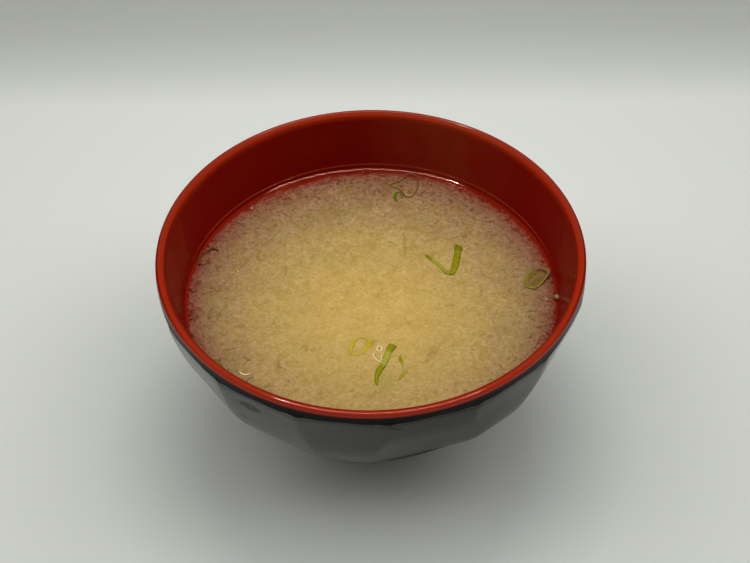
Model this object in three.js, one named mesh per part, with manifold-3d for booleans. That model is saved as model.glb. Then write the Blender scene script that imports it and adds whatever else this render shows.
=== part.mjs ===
// Miso soup in its bowl: a round lacquered soup bowl whose outside is cut into flat facets,
// the broth inside it up to its level, and the sliced scallion that floats in the broth.
// Millimetres, +Z up. The origin is the centre of the foot ring's underside.

import * as THREE from 'three';
import { mergeVertices } from 'three/addons/utils/BufferGeometryUtils.js';
import Module from 'manifold-3d';

const wasm = await Module();
wasm.setup();

// ---------------------------------------------------------------- driving dimensions

const BOWL_HEIGHT = 64;
const RIM_RADIUS = 57.5;        // outside of the lip
const LIP_WIDTH = 2.5;
const LIP_ROUNDING = 0.5;       // radius of the lip's outer edge
const LIP_SLOPE = 41;           // degrees that the lip falls from that edge to the inside
const LIP_DROP = 1.8;           // the walls end this far below the top of the lip
const FACETS = 16;
const FACET_TURN = 4;           // degrees from +X to the first edge between two facets
const UNEVEN_BELOW = 54;        // the facets are even above this height
const UNEVEN_FULLY = 40;        // and below this one each is off by its whole amount:
const UNEVENNESS = [0.2, -0.3, 0.1, 0.3, -0.2, 0.2, -0.1, 0, 0, -0.1, -0.3, 0.6, -0.95, 0.95, -0.35, 0];
const FOOT_RADIUS = 24.5;       // outside of the foot ring where it meets the table
const FOOT_WALL = 2.2;
const FOOT_RECESS = 6.5;        // how deep the underside is hollowed inside the foot ring
const FLOOR_THICKNESS = 3.9;
const SOUP_DEPTH_BELOW_RIM = 18.45;
const MENISCUS_RISE = 1.35;     // the broth climbs the wall by this much
const MENISCUS_WIDTH = 6;
const CLEARANCE = 0.3;          // left between the broth and everything it touches
const POCKET_RISE = 1.8;        // the pocket round a slice of scallion is cut open this far above the broth

const SOUP_LEVEL = BOWL_HEIGHT - SOUP_DEPTH_BELOW_RIM;
const BOWL_SEGMENTS = 4 * FACETS;
const OUTSIDE_STEPS = 16;
const INSIDE_STEPS = 16;
const LIP_STEPS = 6;
const LIP_SOFTENING = 0.3;      // the corner between the lip's slope and the inside wall is this wide
const LID_SEGMENTS = 24;
const SLICE_BEVEL = 0.25;       // height of the bevel along a slice's upper edges
const SLICE_SHOULDER = 0.6;     // share of a slice's width that is flat on top

// ---------------------------------------------------------------- materials

const material = (color, roughness) => new THREE.MeshStandardMaterial({ color, roughness, metalness: 0 });

const lacquer = material(0x7a140c, 0.2);
const broth = material(0xbfa063, 0.3);
const darkLeaf = material(0x6f8a1e, 0.45);
const paleLeaf = material(0xb3b04a, 0.45);
const oliveLeaf = material(0x5a5a22, 0.45);
const creamLeaf = material(0xc9c295, 0.45);

// ---------------------------------------------------------------- solids

/** A closed three.js geometry as a manifold solid, with its faces pointing out. */
function solidFrom(geometry) {
  const bare = geometry.clone();
  for (const name of Object.keys(bare.attributes)) {
    if (name !== 'position') bare.deleteAttribute(name);
  }
  const merged = mergeVertices(bare, 1e-4);
  const corners = [];
  const index = merged.index.array;
  for (let i = 0; i < index.length; i += 3) {
    const [a, b, c] = [index[i], index[i + 1], index[i + 2]];
    if (a !== b && b !== c && c !== a) corners.push(a, b, c);
  }
  if (signedVolume(merged.attributes.position.array, corners) < 0) {
    for (let i = 0; i < corners.length; i += 3) {
      [corners[i + 1], corners[i + 2]] = [corners[i + 2], corners[i + 1]];
    }
  }
  return new wasm.Manifold(new wasm.Mesh({
    numProp: 3,
    vertProperties: new Float32Array(merged.attributes.position.array),
    triVerts: new Uint32Array(corners),
  }));
}

/** Six times the volume that a triangle mesh shuts in, negative when its faces point inwards. */
function signedVolume(position, corners) {
  const point = (i) => new THREE.Vector3().fromArray(position, 3 * i);
  let total = 0;
  for (let i = 0; i < corners.length; i += 3) {
    total += point(corners[i]).dot(point(corners[i + 1]).cross(point(corners[i + 2])));
  }
  return total;
}

/** A named mesh of a manifold solid. */
function meshOf(name, solid, surface) {
  const { vertProperties, triVerts } = solid.getMesh();
  const geometry = new THREE.BufferGeometry();
  geometry.setAttribute('position', new THREE.BufferAttribute(new Float32Array(vertProperties), 3));
  geometry.setIndex(new THREE.BufferAttribute(new Uint32Array(triVerts), 1));
  geometry.computeVertexNormals();
  const mesh = new THREE.Mesh(geometry, surface);
  mesh.name = name;
  return mesh;
}

/** A profile of (radius, height) points turned about the Z axis. */
function turned(profile, segments) {
  const lathe = new THREE.LatheGeometry(profile, segments, THREE.MathUtils.degToRad(FACET_TURN));
  lathe.rotateX(Math.PI / 2);
  return solidFrom(lathe);
}

/** A solid whose skin runs through a row of sections, each a convex loop of equally many points. */
function lofted(sections, closed = false) {
  const sides = sections[0].length;
  const spans = closed ? sections.length : sections.length - 1;
  const index = [];
  for (let i = 0; i < spans; i++) {
    const here = i * sides;
    const next = ((i + 1) % sections.length) * sides;
    for (let k = 0; k < sides; k++) {
      const l = (k + 1) % sides;
      index.push(here + k, here + l, next + l, here + k, next + l, next + k);
    }
  }
  if (!closed) {
    const last = spans * sides;
    for (let k = 1; k < sides - 1; k++) {
      index.push(0, k + 1, k, last, last + k, last + k + 1);
    }
  }
  const geometry = new THREE.BufferGeometry().setFromPoints(sections.flat());
  geometry.setIndex(index);
  return solidFrom(geometry);
}

const points = (pairs) => pairs.map(([radius, height]) => new THREE.Vector2(radius, height));
const smooth = (pairs, steps) => new THREE.SplineCurve(points(pairs)).getPoints(steps);

// ---------------------------------------------------------------- bowl

/** The inside wall, from under the lip down to the middle of the floor. */
function insideWall() {
  const floor = FOOT_RECESS + FLOOR_THICKNESS;
  return smooth([
    [RIM_RADIUS - LIP_WIDTH, BOWL_HEIGHT - LIP_DROP],
    [54.15, 58.2], [53.05, 52.5], [52.03, 47.3], [50.2, 41], [47.2, 35.2],
    [43.5, 29.5], [39, 23.8], [33.4, 18], [27, 13.6], [15, floor + 0.7], [0, floor],
  ], INSIDE_STEPS);
}

/** The outside of the round body, from the foot ring up to the lip. It is widest a little below the rim. */
function outsideWall() {
  return smooth([
    [FOOT_RADIUS + 1.2, 8.4], [29.4, 10.9], [35.6, 16.5], [41.2, 22.8], [45.6, 28.3], [48.8, 32.4],
    [50.9, 35.2], [54.3, 41], [56.5, 46.8], [57.75, 52.5], [58.15, 56.5], [58.1, 59.6], [57.7, 60.8],
    [RIM_RADIUS, BOWL_HEIGHT - LIP_DROP],
  ], OUTSIDE_STEPS);
}

/** The lip: its rounded outer edge, then the slope down to just short of the inside wall. */
function lip() {
  const centre = new THREE.Vector2(RIM_RADIUS - LIP_ROUNDING, BOWL_HEIGHT - LIP_ROUNDING);
  const slope = THREE.MathUtils.degToRad(LIP_SLOPE);
  const edge = Array.from({ length: LIP_STEPS + 1 }, (_, step) => {
    const angle = ((Math.PI / 2 + slope) * step) / LIP_STEPS;
    return new THREE.Vector2(Math.cos(angle), Math.sin(angle)).multiplyScalar(LIP_ROUNDING).add(centre);
  });
  const crest = edge[LIP_STEPS];
  const foot = RIM_RADIUS - LIP_WIDTH + LIP_SOFTENING;
  return [...edge, new THREE.Vector2(foot, crest.y - (crest.x - foot) * Math.tan(slope))];
}

/** The foot ring's inside and its narrow flat underside, from the hollow's roof outwards. */
function footRing() {
  const edge = 0.5;
  const fillet = 0.8;
  const inside = FOOT_RADIUS - FOOT_WALL;
  return points([
    [0, FOOT_RECESS], [inside - 2 * fillet, FOOT_RECESS], [inside - fillet, FOOT_RECESS - edge],
    [inside - edge, edge], [inside, 0], [FOOT_RADIUS, 0], [FOOT_RADIUS + edge, edge],
  ]);
}

/** The middle line of a facet, from where it runs out into the round body up to its edge under the lip. */
function facetMiddle() {
  return smooth([
    [42.2, 24.5], [45.9, 29.5], [49.5, 35.2], [52.3, 41], [54.2, 46.8], [55.66, 52.5],
    [56.75, 58.2], [56.95, 60.3], [57.8, 61],
  ], OUTSIDE_STEPS);
}

/** The corners of a level section through the flats. Low down, each flat is a little out or in. */
function facetCorners(radius, height) {
  const share = 1 - THREE.MathUtils.smoothstep(height, UNEVEN_FULLY, UNEVEN_BELOW);
  const reach = UNEVENNESS.map((offset) => radius + share * offset);
  const turn = (2 * Math.PI) / FACETS;
  const up = new THREE.Vector3(0, 0, 1);
  return reach.map((flat, k) => {
    const nextFlat = reach[(k + 1) % FACETS];
    const along = (nextFlat - flat * Math.cos(turn)) / Math.sin(turn);
    const facing = THREE.MathUtils.degToRad(FACET_TURN) + (k + 0.5) * turn;
    return new THREE.Vector3(flat, along, height).applyAxisAngle(up, facing);
  });
}

/** A many-sided funnel whose flats cut the facets. It reaches past the bowl above and below. */
function facetCutter() {
  const beyond = 3;
  const middle = facetMiddle();
  const profile = [
    new THREE.Vector2(middle[0].x, -beyond),
    ...middle,
    new THREE.Vector2(RIM_RADIUS + beyond, BOWL_HEIGHT + beyond),
  ];
  return lofted(profile.map(({ x, y }) => facetCorners(x, y)));
}

function bowl() {
  const body = turned([...footRing(), ...outsideWall(), ...lip(), ...insideWall()], BOWL_SEGMENTS);
  return meshOf('bowl', body.intersect(facetCutter()), lacquer);
}

// ---------------------------------------------------------------- scallion

/**
 * A slice of scallion that floats along a path in plan, as a six-sided section swept along it.
 * path: [x, y, width] at each point. It stands `proud` above the broth and hangs `sunk` below it.
 * grown widens and deepens it on every side, for the pocket that the broth keeps round it.
 */
function slice({ path, closed = false, steps, sunk, proud, grown = 0 }) {
  const stations = path.map(([x, y, width]) => new THREE.Vector3(x, y, width));
  const route = new THREE.CatmullRomCurve3(stations, closed);
  const top = SOUP_LEVEL + proud + (grown ? POCKET_RISE : 0);
  const bottom = SOUP_LEVEL - sunk - grown;
  const bevel = Math.min(SLICE_BEVEL, proud);
  const sections = [];
  for (let i = 0; i < (closed ? steps : steps + 1); i++) {
    const at = route.getPoint(i / steps);
    const along = route.getTangent(i / steps).setZ(0).normalize();
    if (!closed && i === 0) at.addScaledVector(along, -grown);
    if (!closed && i === steps) at.addScaledVector(along, grown);
    const half = at.z / 2 + grown;
    const shoulder = half * SLICE_SHOULDER;
    const outline = [
      [-half, bottom], [half, bottom], [half, top - bevel],
      [shoulder, top], [-shoulder, top], [-half, top - bevel],
    ];
    sections.push(outline.map(([side, height]) => (
      new THREE.Vector3(at.x - along.y * side, at.y + along.x * side, height)
    )));
  }
  return lofted(sections, closed);
}

/** An oval slice whose middle is closed by a thin skin, a little below its rim. */
function lidded({ x, y, long, short, turn, wall, sunk, proud, dip, grown = 0 }) {
  const top = SOUP_LEVEL + proud + (grown ? POCKET_RISE : 0);
  const bottom = SOUP_LEVEL - sunk - grown;
  const inner = 1 - wall / short;
  const soft = 0.05;  // share of the half width that a softened corner takes
  const drop = 0.15;  // and how far down it reaches
  const profile = grown
    ? points([[0, bottom], [1, bottom], [1, top], [0, top]])
    : points([
      [0, bottom], [1 - soft, bottom], [1, bottom + drop], [1, top - drop], [1 - soft, top],
      [inner + soft, top], [inner - soft, top - dip], [0, top - dip],
    ]);
  const geometry = new THREE.LatheGeometry(profile, LID_SEGMENTS);
  geometry.rotateX(Math.PI / 2);
  geometry.scale(long + grown, short + grown, 1);
  geometry.rotateZ(THREE.MathUtils.degToRad(turn));
  geometry.translate(x, y, 0);
  return solidFrom(geometry);
}

const ring = { closed: true, steps: 28, sunk: 1.4, proud: 0.2 };
const thread = { steps: 14, sunk: 0.7, proud: 0.15 };
const strip = { steps: 18, sunk: 0.6, proud: 0.25 };
const bit = { steps: 4, sunk: 0.6, proud: 0.25 };

const scallions = [
  {
    name: 'scallion_ring_front', surface: paleLeaf, make: slice, ...ring,
    path: [
      [-5.6, -20.4, 1], [-4.7, -17.7, 1.05], [-3.3, -16.7, 0.5], [-1.2, -17.3, 0.8], [-0.7, -18.9, 1.4],
      [-1.7, -20.9, 1.15], [-2.6, -22, 0.85], [-4.2, -22.8, 0.55], [-5.4, -22.1, 0.7],
    ],
  },
  {
    name: 'scallion_ring_back', surface: oliveLeaf, make: slice, ...ring, steps: 40,
    path: [
      [6.3, 44, 0.6], [8, 45.1, 0.5], [9.5, 46.1, 0.45], [10.2, 47.3, 0.4], [11.2, 48.2, 0.4],
      [12.7, 48.3, 0.4], [13.9, 47.4, 0.4], [14.3, 45.6, 0.4], [14.3, 43.8, 0.4], [13.9, 41.8, 0.4],
      [13.2, 40.1, 0.4], [12.3, 38.8, 0.4], [11.3, 38.5, 0.4], [10.3, 39.1, 0.45], [9.5, 40.5, 0.6],
      [8.7, 41.8, 0.5], [7.4, 42.8, 0.5],
    ],
  },
  {
    name: 'scallion_ring_right', surface: paleLeaf, make: lidded,
    x: 46.3, y: 4.6, long: 4.7, short: 2.9, turn: 53, wall: 0.85, sunk: 0.9, proud: 0.45, dip: 0.35,
  },
  {
    name: 'scallion_strip_right', surface: darkLeaf, make: slice, ...strip, steps: 30,
    path: [
      [16.1, 13.7, 0.9], [17.3, 12.4, 1], [18.6, 10.9, 1.05], [19.6, 9.7, 1.1], [20.4, 8.5, 1.2],
      [21.3, 7.4, 1.25], [22.3, 6.9, 1.4], [23.1, 7.5, 1.5], [23.6, 9, 1.85], [24.1, 11.2, 1.8],
      [24.6, 13.6, 1.75], [25, 16, 1.95], [25.2, 17.6, 1.9],
    ],
  },
  {
    name: 'scallion_strip_front', surface: darkLeaf, make: slice, ...strip, steps: 24,
    path: [
      [5.6, -19.6, 2.1], [4.8, -21, 1.85], [4.1, -23, 1.6], [3.4, -25.1, 1.65], [2.8, -26.8, 1.5],
      [2.1, -27.8, 1.65], [1.7, -29, 1.5], [1.3, -30.3, 1.15], [1.1, -31.6, 0.95], [1.2, -32.6, 0.7],
      [1.3, -33.3, 0.4],
    ],
  },
  {
    name: 'scallion_arc_front', surface: darkLeaf, make: slice, ...thread,
    path: [
      [7.5, -23.3, 0.35], [7.5, -24.3, 0.8], [7.8, -25.3, 0.8], [8.1, -26.3, 0.6], [8.2, -27.4, 0.45],
      [8.3, -28.2, 0.55], [8.2, -29.3, 0.85], [7.6, -30.5, 0.85], [7.2, -31.6, 0.4],
    ],
  },
  {
    name: 'scallion_curl_back', surface: darkLeaf, make: slice, ...thread,
    path: [
      [7.8, 36.9, 0.45], [7.3, 38.4, 1], [7.6, 39.9, 0.6], [8.2, 40.6, 0.4], [8.8, 40, 0.4],
      [9.3, 39, 0.35], [9.5, 38, 0.35],
    ],
  },
  {
    name: 'scallion_hook_left', surface: oliveLeaf, make: slice, ...thread, proud: 0.4,
    path: [
      [-43.9, 16.7, 0.4], [-44.8, 17.4, 0.5], [-45.7, 17.4, 0.5], [-46.6, 16.8, 0.5], [-47.2, 16.1, 0.45],
      [-47.8, 15.3, 0.45], [-48.1, 14.3, 0.45], [-48.4, 13, 0.5], [-48.5, 11.3, 0.45],
    ],
  },
  {
    name: 'scallion_bit_left', surface: oliveLeaf, make: slice, ...bit,
    path: [[-42.1, -23.9, 1.1], [-41, -25, 1.5], [-39.8, -26.1, 1.2]],
  },
  {
    name: 'scallion_bit_right', surface: creamLeaf, make: slice, ...bit,
    path: [[50.3, -4.3, 0.8], [50.4, -3.7, 1.1], [50.4, -3, 0.8]],
  },
];

// ---------------------------------------------------------------- soup

/** The broth: the bowl's inside less a clearance, with a curled-up edge and a pocket round each slice. */
function soup() {
  const wall = insideWall();
  const inset = wall.map((point, i) => {
    const before = wall[Math.max(i - 1, 0)];
    const after = wall[Math.min(i + 1, wall.length - 1)];
    const along = after.clone().sub(before).normalize();
    return new THREE.Vector2(Math.max(point.x + along.y * CLEARANCE, 0), point.y - along.x * CLEARANCE);
  });
  const edge = SOUP_LEVEL + MENISCUS_RISE;
  const above = inset.findLastIndex((point) => point.y > edge);
  const [high, low] = [inset[above], inset[above + 1]];
  const shore = high.clone().lerp(low, (high.y - edge) / (high.y - low.y));
  const meniscus = [1, 0.7, 0.45, 0.25, 0.1].map((reach) => (
    new THREE.Vector2(shore.x - reach * MENISCUS_WIDTH, SOUP_LEVEL + MENISCUS_RISE * (1 - reach) ** 3)
  ));
  inset[inset.length - 1].x = 0;
  const profile = [new THREE.Vector2(0, SOUP_LEVEL), ...meniscus, shore, ...inset.slice(above + 1)];
  let body = turned(profile, BOWL_SEGMENTS);
  for (const { make, ...shape } of scallions) {
    body = body.subtract(make({ ...shape, grown: CLEARANCE }));
  }
  return meshOf('soup', body, broth);
}

// ---------------------------------------------------------------- the whole

const misoSoup = new THREE.Group();
misoSoup.name = 'miso_soup';
misoSoup.add(bowl(), soup());
for (const { name, surface, make, ...shape } of scallions) {
  misoSoup.add(meshOf(name, make(shape), surface));
}

export default misoSoup;
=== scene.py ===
import math

import bmesh
import bpy
import numpy as np
from mathutils import Matrix, Vector, noise


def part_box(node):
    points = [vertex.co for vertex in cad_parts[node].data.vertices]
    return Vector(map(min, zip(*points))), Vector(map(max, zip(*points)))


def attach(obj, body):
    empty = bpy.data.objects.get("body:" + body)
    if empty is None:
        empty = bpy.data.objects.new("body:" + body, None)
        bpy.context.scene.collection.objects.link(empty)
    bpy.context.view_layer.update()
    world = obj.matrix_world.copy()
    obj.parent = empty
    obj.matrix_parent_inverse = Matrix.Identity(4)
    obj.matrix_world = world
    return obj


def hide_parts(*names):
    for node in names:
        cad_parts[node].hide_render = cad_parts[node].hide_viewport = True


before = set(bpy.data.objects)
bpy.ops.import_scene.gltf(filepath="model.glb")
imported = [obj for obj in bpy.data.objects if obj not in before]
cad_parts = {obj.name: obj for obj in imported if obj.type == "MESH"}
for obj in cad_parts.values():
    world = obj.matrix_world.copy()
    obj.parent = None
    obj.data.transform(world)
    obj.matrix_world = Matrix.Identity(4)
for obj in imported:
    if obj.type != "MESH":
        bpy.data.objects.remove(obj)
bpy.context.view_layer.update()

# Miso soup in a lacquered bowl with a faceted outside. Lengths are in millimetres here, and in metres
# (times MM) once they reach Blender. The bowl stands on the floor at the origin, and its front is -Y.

MM = 0.001

WALL_RED = (0.260, 0.005, 0.0016)
LIP_RED = (0.40, 0.024, 0.004)
# Painted reflection: the pink of the sheen on the outer part of the lip behind.
LIP_SHEEN_PINK = (0.355, 0.031, 0.012)
# Painted shade along the lip's outer edge and its corner with the wall.
EDGE_SHADE_RED = (0.19, 0.001, 0.001)
# Painted shade on the lip's upright outer side.
UNDER_LIP_SHADE = (0.06, 0.003, 0.001)
# Painted light: the wet wall under the broth, brightened as if lit through it.
WET_AND_LIT_RED = (0.62, 0.03, 0.006)
STEAMED_RED = (0.33, 0.040, 0.011)
# Painted highlight along the broth's shore behind.
SHORE_HIGHLIGHT_BROWN = (0.50, 0.050, 0.014)
# Painted reflection of the soup on the side walls.
REFLECTED_SOUP_BROWN = (0.28, 0.019, 0.004)
# Partly painted light: the rosy rim of the cloud at the sides, red light from the wall and the wall seen
# through the cloud.
ROSY_RIM = (0.45, 0.215, 0.14)
# Partly painted light: the pink of the cloud's thinnest wisps, red light from the wall and the wall seen
# through them.
THIN_PINK = (0.44, 0.095, 0.065)

# ---------- sizes

RIM_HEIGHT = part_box("bowl")[1].z / MM
MENISCUS_RISE = 1.35
MENISCUS_LENGTH = 2.05    # the broth's climb up the wall falls off over this
SOUP_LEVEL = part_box("soup")[1].z / MM - MENISCUS_RISE

RIM_RADIUS = 57.5
LIP_WIDTH = 2.5
LIP_ROUNDING = 0.9
LIP_SLOPE = math.radians(30)
LIP_DROP = 1.3
LIP_SOFTENING = 0.5
RED_DOWN_TO = RIM_HEIGHT - 2.3      # the red of the inside reaches over the lip to this height
FACETS = 16
FACET_TURN = math.radians(4)
CORNER_SOFTNESS = 0.17    # of the corners between the flats
BAND_SOFTNESS = 0.13      # where a flat meets the round body
# How far in or out each flat lies, from the height where that starts to the one where it is full.
UNEVENNESS = [0.2, -0.3, 0.1, 0.3, -0.2, 0.2, -0.1, 0, 0, -0.1, -0.3, 0.6, -0.95, 0.95, -0.35, 0]
UNEVEN_BELOW = 54.0
UNEVEN_FULLY = 40.0
FOOT_RADIUS = 24.5
FOOT_WALL = 2.2
FOOT_RECESS = 6.5
FLOOR_HEIGHT = 10.4

# Profiles of (radius, height): the inside, the round body outside, and the middle line of the flats.
INSIDE_WALL = [
    (RIM_RADIUS - LIP_WIDTH, RIM_HEIGHT - LIP_DROP), (54.15, 58.2), (53.05, 52.5), (52.03, 47.3), (50.2, 41),
    (47.2, 35.2), (43.5, 29.5), (39, 23.8), (33.4, 18), (27, 13.6), (15, 11.1), (0, FLOOR_HEIGHT),
]
OUTSIDE_WALL = [
    (25.7, 8.4), (29.4, 10.9), (35.6, 16.5), (41.2, 22.8), (45.6, 28.3), (48.8, 32.4), (50.9, 35.2),
    (54.3, 41), (56.5, 46.8), (57.75, 52.5), (58.15, 56.5), (58.1, 59.6), (57.7, 60.8),
    (RIM_RADIUS, RIM_HEIGHT - LIP_DROP),
]
FACET_MIDDLE = [
    (42.2, 24.5), (45.9, 29.5), (49.5, 35.2), (52.3, 41), (54.2, 46.8), (55.66, 52.5), (56.75, 58.2),
    (56.95, 60.3), (57.8, 61),
]
FLATS_FROM = FACET_MIDDLE[0][1] - 4         # below this height the body is round
FLATS_WHOLE_TO = FACET_MIDDLE[-1][1] - 4    # above this height the round band runs over the flats
PAST_THE_FLATS = (60.5, 67)                 # carries their middle line on past its last point

# ---------- camera

CAMERA_PLACE = (1.21, -246.8, 309.9)
CAMERA_TILT = math.radians(43.484)   # up from looking straight down
CAMERA_ROLL = math.radians(-0.69)
CAMERA_LENS = 62.4
CAMERA_SHIFT = -0.0008


def linked(name, data):
    """A new object in the scene."""
    made = bpy.data.objects.new(name, data)
    bpy.context.scene.collection.objects.link(made)
    return made


def make_camera():
    data = bpy.data.cameras.new("camera")
    data.sensor_width = 36
    data.lens = CAMERA_LENS
    data.shift_x = CAMERA_SHIFT
    data.clip_start = 0.01
    data.clip_end = 20
    camera = linked("camera", data)
    turn = Matrix.Rotation(CAMERA_TILT, 4, "X") @ Matrix.Rotation(CAMERA_ROLL, 4, "Z")
    camera.matrix_world = Matrix.Translation(Vector(CAMERA_PLACE) * MM) @ turn
    bpy.context.scene.camera = camera


# ---------- curves and meshes


def catmull_rom(points, steps, closed=False):
    """A smooth curve through the points, `steps` to each stretch."""
    points = np.array(points, float)
    count = len(points)
    stretches = count if closed else count - 1
    out = []
    for i in range(stretches):
        pick = [i - 1, i, i + 1, i + 2]
        if closed:
            a, b, c, d = (points[k % count] for k in pick)
        else:
            a, b, c, d = (points[min(max(k, 0), count - 1)] for k in pick)
        for t in np.arange(steps) / steps:
            out.append(
                b + 0.5 * t * (c - a + t * (2 * a - 5 * b + 4 * c - d + t * (3 * (b - c) + d - a)))
            )
    if not closed:
        out.append(points[-1])
    return np.array(out)


def radius_at(profile, heights):
    """The radius of a (radius, height) profile at each height."""
    line = catmull_rom(profile, 16)
    line = line[np.argsort(line[:, 1])]
    return np.interp(heights, line[:, 1], line[:, 0])


def smoothstep(low, high, value):
    t = np.clip((np.asarray(value, float) - low) / (high - low), 0, 1)
    return t * t * (3 - 2 * t)


def soft_min(values, softness):
    """The least of the values, with the corner between two equal ones rounded."""
    low = np.min(values, axis=0)
    rest = np.exp(-(values - low) / softness)
    return low - softness * np.log(np.sum(rest, axis=0))


def piece_of(name, vertices, faces, looks, attributes=None):
    """A smooth shaded object from vertices in millimetres, with its faces turned outwards."""
    mesh = bpy.data.meshes.new(name)
    mesh.from_pydata([tuple(v) for v in np.asarray(vertices) * MM], [], faces)
    for key, values in (attributes or {}).items():
        layer = mesh.attributes.new(key, "FLOAT", "POINT")
        layer.data.foreach_set("value", np.asarray(values, np.float32))
    shaped = bmesh.new()
    shaped.from_mesh(mesh)
    bmesh.ops.recalc_face_normals(shaped, faces=shaped.faces)
    shaped.to_mesh(mesh)
    shaped.free()
    mesh.polygons.foreach_set("use_smooth", [True] * len(mesh.polygons))
    for look in looks:
        mesh.materials.append(look.material)
    piece = linked(name, mesh)
    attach(piece, "root")
    return piece


def ring_faces(rows, columns, closed=False):
    """Quads between rings of vertices that follow each other, and from the last to the first if closed."""
    faces = []
    for row in range(rows if closed else rows - 1):
        start, above = row * columns, (row + 1) % rows * columns
        for j in range(columns):
            k = (j + 1) % columns
            faces.append((start + j, start + k, above + k, above + j))
    return faces


def with_poles(rings, first, last):
    """Vertices and faces of a closed skin through rings, shut by a point at each end."""
    rows, columns = len(rings), len(rings[0])
    vertices = np.concatenate([np.reshape(rings, (-1, 3)), [first, last]])
    faces = ring_faces(rows, columns)
    tip, tail = rows * columns, rows * columns + 1
    below = (rows - 1) * columns
    for j in range(columns):
        k = (j + 1) % columns
        faces.append((tip, k, j))
        faces.append((tail, below + j, below + k))
    return vertices, faces


def nearness(points, line, widths):
    """1 where a point lies over one of a line's points, falling off to 0 over a width or two."""
    apart = np.hypot(points[:, None, 0] - line[None, :, 0], points[:, None, 1] - line[None, :, 1])
    return np.max(np.exp(-(apart / widths) ** 2), axis=1)


def noise_at(point, size, seed):
    """Smooth noise from about -1 to 1 whose features are `size` wide."""
    return noise.noise(Vector((point[0] / size + seed, point[1] / size - seed, point[2] / size)))


# ---------- materials


class Look:
    """A node material round one Principled shader, built by short calls."""

    def __init__(self, name):
        self.material = bpy.data.materials.new(name)
        self.material.use_nodes = True
        self.tree = self.material.node_tree
        self.shader = self.tree.nodes["Principled BSDF"]
        place = self.add("ShaderNodeTexCoord")
        self.place = self.vector("MULTIPLY", place.outputs["Object"], (1 / MM,) * 3)

    def add(self, kind, feeds=(), **settings):
        """A new node with its settings. feeds: what each input that is named or numbered gets."""
        made = self.tree.nodes.new(kind)
        for key, value in settings.items():
            setattr(made, key, value)
        for key, value in dict(feeds).items():
            self.feed(made.inputs[key], value)
        return made

    def feed(self, socket, value):
        if isinstance(value, bpy.types.NodeSocket):
            self.tree.links.new(value, socket)
        else:
            socket.default_value = value

    def set(self, **values):
        """Feeds the Principled shader's sockets, named with _ for a space."""
        for key, value in values.items():
            self.feed(self.shader.inputs[key.replace("_", " ")], value)

    def vector(self, operation, a, b):
        return self.add("ShaderNodeVectorMath", {0: a, 1: b}, operation=operation).outputs[0]

    def math(self, operation, a, b=0.0, clamp=False):
        return self.add("ShaderNodeMath", {0: a, 1: b}, operation=operation, use_clamp=clamp).outputs[0]

    def chain(self, operation, values):
        """The operation run on the values, from the first to the last."""
        total = values[0]
        for value in values[1:]:
            total = self.math(operation, total, value)
        return total

    def times(self, *values):
        return self.chain("MULTIPLY", values)

    def most(self, *values):
        return self.chain("MAXIMUM", values)

    def plus(self, *values):
        return self.chain("ADD", values)

    def minus(self, a, b, clamp=False):
        return self.math("SUBTRACT", a, b, clamp)

    def noise(self, size, detail=2.0, roughness=0.5, distortion=0.0, place=None):
        """Noise from 0 to 1 whose features are `size` millimetres wide."""
        return self.add("ShaderNodeTexNoise", {
            "Vector": place or self.place, "Scale": 1 / size, "Detail": detail, "Roughness": roughness,
            "Distortion": distortion,
        }).outputs["Fac"]

    def grain(self, size, **settings):
        """Noise from -0.5 to 0.5."""
        return self.minus(self.noise(size, **settings), 0.5)

    def ramp(self, factor, stops):
        """stops: (position, colour or grey) in rising order."""
        made = self.add("ShaderNodeValToRGB", {0: factor})
        elements = made.color_ramp.elements
        while len(elements) < len(stops):
            elements.new(0.5)
        for element, (position, colour) in zip(elements, stops):
            element.position = position
            element.color = (*colour, 1) if isinstance(colour, tuple) else (colour, colour, colour, 1)
        return made.outputs[0]

    def mix(self, factor, a, b):
        a, b = ((*tone, 1) if isinstance(tone, tuple) else tone for tone in (a, b))
        feeds = {"Factor": factor, "A": a, "B": b}
        return self.add("ShaderNodeMix", feeds, data_type="RGBA").outputs["Result"]

    def span(self, value, low, high):
        """0 where the value is at low, 1 where it is at high, and straight between them."""
        feeds = {"Value": value, "From Min": low, "From Max": high}
        return self.add("ShaderNodeMapRange", feeds, clamp=True).outputs["Result"]

    def band(self, value, low, high, rise=0.3, fall=0.7):
        """0 where the value is at low or high, and 1 from the share `rise` of the way to `fall`."""
        stops = [(0.0, 0.0), (rise, 1.0), (fall, 1.0), (1.0, 0.0)]
        return self.ramp(self.span(value, low, high), stops)

    def attribute(self, name):
        return self.add("ShaderNodeAttribute", attribute_name=name).outputs["Fac"]

    def axes(self):
        """The place's x, y and z."""
        return self.add("ShaderNodeSeparateXYZ", {0: self.place}).outputs

    def off_axis(self):
        """How far the place is from the bowl's upright axis."""
        flat = self.vector("MULTIPLY", self.place, (1.0, 1.0, 0.0))
        return self.add("ShaderNodeVectorMath", {0: flat}, operation="LENGTH").outputs["Value"]

    def far_from(self, centre):
        feeds = {0: self.place, 1: centre}
        return self.add("ShaderNodeVectorMath", feeds, operation="DISTANCE").outputs["Value"]

    def shaded(self, tone, amount, share=(1.0, 1.0, 1.0)):
        """The tone made lighter (amount above 0) or darker (below), by a share for each channel."""
        change = self.vector("MULTIPLY", amount, share)
        return self.vector("MULTIPLY", tone, self.vector("ADD", change, (1.0, 1.0, 1.0)))

    def bump(self, height, depth):
        """A bump whose full height is `depth` millimetres."""
        made = self.add("ShaderNodeBump", {"Distance": depth * MM, "Height": height})
        self.feed(self.shader.inputs["Normal"], made.outputs[0])


# ---------- bowl


COLUMN_SHARES = np.array([0, 0.012, 0.03, 0.06, 0.11, 0.18, 0.27, 0.38])
FACET_COLUMNS = np.concatenate([COLUMN_SHARES, [0.5], 1 - COLUMN_SHARES[:0:-1]])
TURN = 2 * math.pi / FACETS
NEARBY = 1.0              # radians: a flat further round than this can't be reached
OUT_OF_REACH = 1e3


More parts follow.
